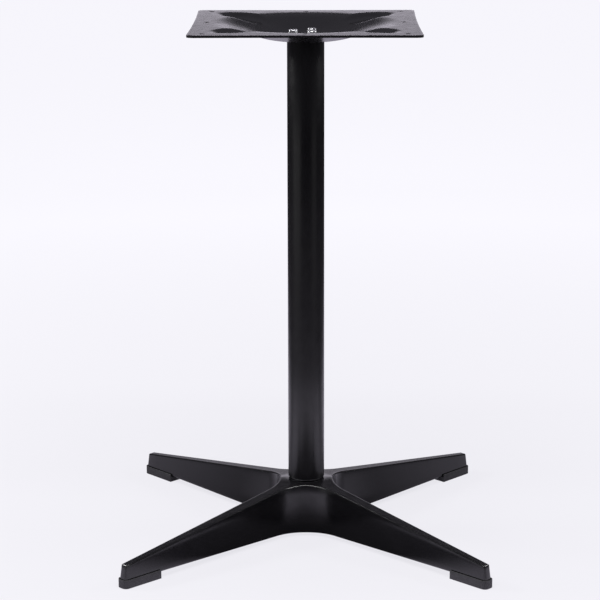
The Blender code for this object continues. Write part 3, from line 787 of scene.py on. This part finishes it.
flat_washer = washer("flat_washer", FLAT_RADIUS, HOLE_RADIUS, FLAT_THICK)
spring_washer = washer("spring_washer", SPRING_RADIUS, HOLE_RADIUS, SPRING_THICK)
clear_selection()
slit_place = (0.5 * (SPRING_RADIUS + HOLE_RADIUS), 0.0, 1.0 * MM)
bpy.ops.mesh.primitive_cube_add(size=1.0, location=slit_place, rotation=(SLIT_SLANT, 0.0, 0.0))
slit = new_piece("slit")
slit.scale = (4.0 * MM, 0.9 * MM, 6.0 * MM)
settle(slit)
cut_or_join(spring_washer, slit, "DIFFERENCE")
print("washers:", len(flat_washer.data.polygons), len(spring_washer.data.polygons))

# %% Screws and washers in place
TURN = 0.7


def set_out(source, prefix, kind, upside_down=False):
    """Copies a fastener to each of its three places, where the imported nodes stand."""
    for index in (1, 2, 3):
        node = f"{prefix}_{kind}_{index}"
        low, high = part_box(node)
        spot = (0.5 * (low.x + high.x), 0.5 * (low.y + high.y))
        copy = source.copy()
        copy.data = source.data.copy()
        copy.name = copy.data.name = f"{node}_bright"
        bpy.context.scene.collection.objects.link(copy)
        flip = Matrix.Rotation(math.pi, 4, "X") if upside_down else Matrix.Identity(4)
        if kind == "screw":
            base = low.z + HEAD_TALL if upside_down else high.z - HEAD_TALL
        else:
            base = high.z if upside_down else low.z
        copy.matrix_world = Matrix.Translation((*spot, base)) @ flip @ Matrix.Rotation(TURN * index, 4, "Z")
        settle(copy, 30.0)
        finish_piece(copy, "zinc_plate", zinc_plate, node)


set_out(top_screw, "top", "screw")
set_out(flat_washer, "top", "flat_washer")
set_out(low_screw, "bottom", "screw", upside_down=True)
set_out(spring_washer, "bottom", "spring_washer", upside_down=True)
set_out(flat_washer, "bottom", "flat_washer", upside_down=True)
for source in (top_screw, low_screw, flat_washer, spring_washer):
    bpy.data.objects.remove(source, do_unlink=True)

# %% [markdown]
# ## Nodes that stay as they are
#
# The plugs inside the tube and the screws under the shoes have the right shape already. They only
# need a better finish.

# %% Finish the plugs and the shoe screws
def dress(node, material):
    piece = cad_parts[node]
    piece.data.materials.clear()
    piece.data.materials.append(material)


for node in ("column_top_insert", "column_bottom_insert"):
    dress(node, bare_steel)
for leg_name in LEG_NAMES:
    dress(f"shoe_screw_{leg_name}", zinc_plate)
print("dressed:", 2 + len(LEG_NAMES), "nodes")

# %% [markdown]
# ## The studio
#
# Black gloss shows what stands round it, so the studio is built from what the coat should mirror.
# A pool of light lies on the floor round the base, shaded in the middle, and beyond it the room
# falls dark, so the column is grey near the floor and almost black higher up. A lit panel stands
# behind, which draws the pale top faces of the plate and the hub. Narrow lamps above and beside
# draw a thin bright line along the rounded edges, and low wide ones a soft band down each side of
# the column. What the camera sees past the base is plain pale floor and wall, lit almost evenly.
# The floor's glow is a little dimmer near the base, which is painted shade, and the lamps cast a
# soft shadow under the legs.

# %% Helpers for the studio
FLOOR_TONE = (0.93, 0.92, 0.975)
POOL_TONE = (0.90, 0.85, 1.0)
PANEL_TONE = (0.93, 0.88, 1.0)


def glow(tree, tone, strength):
    """An emission shader. The strength is a socket."""
    node = add_node(tree, "ShaderNodeEmission")
    node.inputs["Color"].default_value = (*tone, 1.0)
    tree.links.new(strength, node.inputs["Strength"])
    return node.outputs["Emission"]


def calculate(tree, operation, one, other):
    """One step of arithmetic on two sockets, or on a socket and a number."""
    node = add_node(tree, "ShaderNodeMath", operation=operation)
    for socket, value in zip(node.inputs, (one, other)):
        if isinstance(value, float):
            socket.default_value = value
        else:
            tree.links.new(value, socket)
    return node.outputs[0]


def both(tree, one, other):
    """Two shaders added up."""
    node = add_node(tree, "ShaderNodeAddShader")
    tree.links.new(one, node.inputs[0])
    tree.links.new(other, node.inputs[1])
    return node.outputs[0]


def for_camera(tree, seen, felt):
    """Shows the camera one shader, and the reflections and light paths the other."""
    choose = add_node(tree, "ShaderNodeMixShader")
    tree.links.new(add_node(tree, "ShaderNodeLightPath").outputs["Is Camera Ray"], choose.inputs[0])
    tree.links.new(felt, choose.inputs[1])
    tree.links.new(seen, choose.inputs[2])
    return choose.outputs[0]


def object_axes(tree):
    split = add_node(tree, "ShaderNodeSeparateXYZ")
    tree.links.new(add_node(tree, "ShaderNodeTexCoord").outputs["Object"], split.inputs[0])
    return split.outputs


def blank_material(name):
    material = bpy.data.materials.new(name)
    material.use_nodes = True
    material.node_tree.nodes.clear()
    return material, material.node_tree


print("studio tones:", FLOOR_TONE, POOL_TONE, PANEL_TONE)


# %% The floor's material
SHADE_FULL, SHADE_END = 0.25, 0.4
SHADE_LEVEL, POOL_LEVEL = 0.06, 1.3
SHADE_NARROWING = 4.0
POOL_FULL, POOL_END = 0.6, 0.74
BEHIND_FROM, BEHIND_TO = -0.05, 0.1
BEHIND_LEVEL = 0.2
LANE_FULL, LANE_END = 0.55, 0.85
LANE_START = 0.3
APRON_FULL, APRON_END = 2.6, 4.5
APRON_LEVEL = 0.1
GLOW_SHARE = 0.5
POOL_PAINT = (0.36, 0.34, 0.4)
SEEN_PAINT = (0.085, 0.085, 0.087)
# The floor the camera sees glows a little less near the base than out in the room: painted shade round the
# base.
SEEN_NEAR_PAINTED_SHADE, SEEN_FAR = 0.83, 0.985
NEAR_RADIUS, FAR_RADIUS = 0.2, 2.2


def lit_share(tree, x, y, radius, squares):
    """How far the mirrored floor is lit: a pool shaded in its middle, a lane behind, an apron round both."""
    narrowed = calculate(tree, "MULTIPLY", squares[0], SHADE_NARROWING)
    oval = calculate(tree, "SQRT", calculate(tree, "ADD", narrowed, squares[1]), 0.0)
    inner = spread(tree, oval, SHADE_LEVEL, POOL_LEVEL, SHADE_FULL, SHADE_END)
    outer = spread(tree, radius, 1.0, 0.0, POOL_FULL, POOL_END)
    behind = spread(tree, y, 1.0, BEHIND_LEVEL, BEHIND_FROM, BEHIND_TO)
    pool = calculate(tree, "MULTIPLY", calculate(tree, "MULTIPLY", inner, outer), behind)
    apron = spread(tree, radius, APRON_LEVEL, 0.0, APRON_FULL, APRON_END)
    beside = spread(tree, calculate(tree, "ABSOLUTE", x, 0.0), 1.0, 0.0, LANE_FULL, LANE_END)
    lane = calculate(tree, "MULTIPLY", beside, spread(tree, y, 0.0, 1.0, 0.0, LANE_START))
    return calculate(tree, "MAXIMUM", calculate(tree, "MAXIMUM", pool, lane), apron)


def matt_paint(tree, tone=None):
    node = add_node(tree, "ShaderNodeBsdfDiffuse")
    if tone:
        node.inputs["Color"].default_value = (*tone, 1.0)
    return node


def pale_floor():
    """Pale where the camera looks, with painted shade dimming it a little near the base. In the coat's
    reflections it is a pool of light, with a lane behind.
    """
    material, tree = blank_material("pale_floor")
    x, y, _ = object_axes(tree)
    squares = [calculate(tree, "MULTIPLY", axis, axis) for axis in (x, y)]
    radius = calculate(tree, "SQRT", calculate(tree, "ADD", *squares), 0.0)
    lit = lit_share(tree, x, y, radius, squares)
    shaded = matt_paint(tree)
    tree.links.new(two_tone(tree, lit, (0.0, 0.0, 0.0), POOL_PAINT), shaded.inputs["Color"])
    pool_glow = glow(tree, POOL_TONE, calculate(tree, "MULTIPLY", lit, GLOW_SHARE))
    mirrored = both(tree, pool_glow, shaded.outputs[0])
    # Painted shade: the glow the camera sees is dimmer near the base and rises to full towards the room.
    glow_with_painted_shade = spread(tree, radius, SEEN_NEAR_PAINTED_SHADE, SEEN_FAR, NEAR_RADIUS, FAR_RADIUS)
    seen = both(tree, glow(tree, FLOOR_TONE, glow_with_painted_shade), matt_paint(tree, SEEN_PAINT).outputs[0])
    tree.links.new(for_camera(tree, seen, mirrored), add_node(tree, "ShaderNodeOutputMaterial").inputs[0])
    return material


clear_selection()
bpy.ops.mesh.primitive_circle_add(vertices=96, radius=12.0, fill_type="NGON", location=(0.0, 0.0, -0.0002))
floor = new_piece("floor")
bpy.ops.object.transform_apply(location=True, rotation=True, scale=True)
floor.data.materials.append(pale_floor())
print("floor:", [round(v, 2) for v in floor.dimensions])


# %% The panel behind
PANEL_HALF_FULL, PANEL_HALF_END = 0.7, 1.0
PANEL_TOP_FULL, PANEL_TOP_END = 0.98, 1.3
PANEL_FOOT_END, PANEL_FOOT_FULL = 0.45, 0.7
PANEL_DIM, PANEL_BRIGHT = 0.3, 1.45


def lit_panel():
    """A bright band at the height that the plate mirrors, dimmer below it and dark above and beside it."""
    material, tree = blank_material("lit_panel")
    x, _, z = object_axes(tree)
    off_middle = calculate(tree, "ABSOLUTE", x, 0.0)
    beside = spread(tree, off_middle, 1.0, 0.0, PANEL_HALF_FULL, PANEL_HALF_END)
    height = spread(tree, z, 1.0, 0.0, PANEL_TOP_FULL, PANEL_TOP_END)
    base = spread(tree, z, PANEL_DIM, PANEL_BRIGHT, PANEL_FOOT_END, PANEL_FOOT_FULL)
    level = calculate(tree, "MULTIPLY", calculate(tree, "MULTIPLY", beside, height), base)
    tree.links.new(glow(tree, PANEL_TONE, level), add_node(tree, "ShaderNodeOutputMaterial").inputs[0])
    return material


clear_selection()
bpy.ops.mesh.primitive_plane_add(size=1.0, location=(0.0, 2.5, 0.8), rotation=(math.radians(90.0), 0.0, 0.0))
panel = new_piece("panel")
panel.scale = (2.0, 1.6, 1.0)
bpy.ops.object.transform_apply(location=True, rotation=True, scale=True)
panel.data.materials.append(lit_panel())
panel.visible_camera = False
panel.visible_shadow = False
print("panel:", [round(v, 2) for v in panel.dimensions])


# %% Lights and the room
def soft_light(name, place, aim, size, power):
    """A rectangular lamp, with its size in metres and its power in watts."""
    data = bpy.data.lights.new(name, "AREA")
    data.shape = "RECTANGLE"
    data.size, data.size_y = size
    data.energy = power
    light = bpy.data.objects.new(name, data)
    light.location = place
    light.rotation_euler = (Vector(aim) - Vector(place)).to_track_quat("-Z", "Y").to_euler()
    light.visible_camera = False
    bpy.context.scene.collection.objects.link(light)


FOOT = (0.0, 0.0, 0.0)
soft_light("overhead", (-0.1, -0.1, 2.2), FOOT, (0.6, 0.6), 6.0)
soft_light("front_top", (0.0, -0.8, 2.1), FOOT, (2.2, 0.25), 40.0)
soft_light("left_edge", (-1.84, 0.25, 1.4), (0.1, -0.1, 0.0), (0.7, 0.35), 21.0)
soft_light("right_edge", (1.84, 0.25, 1.4), (-0.1, -0.1, 0.0), (0.7, 0.35), 11.0)
soft_light("left_strip", (-1.6, -1.0, 0.22), (0.0, 0.0, 0.3), (1.8, 0.44), 1.4)
soft_light("right_strip", (1.5, -1.15, 0.22), (0.0, 0.0, 0.3), (1.0, 0.44), 0.4)
ROOM_TONE = (0.12, 0.115, 0.135)


def dim_room():
    """A pale wall for the camera, and a dim room for everything else."""
    world = bpy.data.worlds.new("room")
    world.use_nodes = True
    tree = world.node_tree
    tree.nodes.clear()
    seen, felt = (add_node(tree, "ShaderNodeBackground") for _ in range(2))
    seen.inputs["Color"].default_value = (*FLOOR_TONE, 1.0)
    felt.inputs["Color"].default_value = (*ROOM_TONE, 1.0)
    shown = for_camera(tree, seen.outputs[0], felt.outputs[0])
    tree.links.new(shown, add_node(tree, "ShaderNodeOutputWorld").inputs[0])
    return world


bpy.context.scene.world = dim_room()
bpy.context.scene.view_settings.view_transform = "Standard"
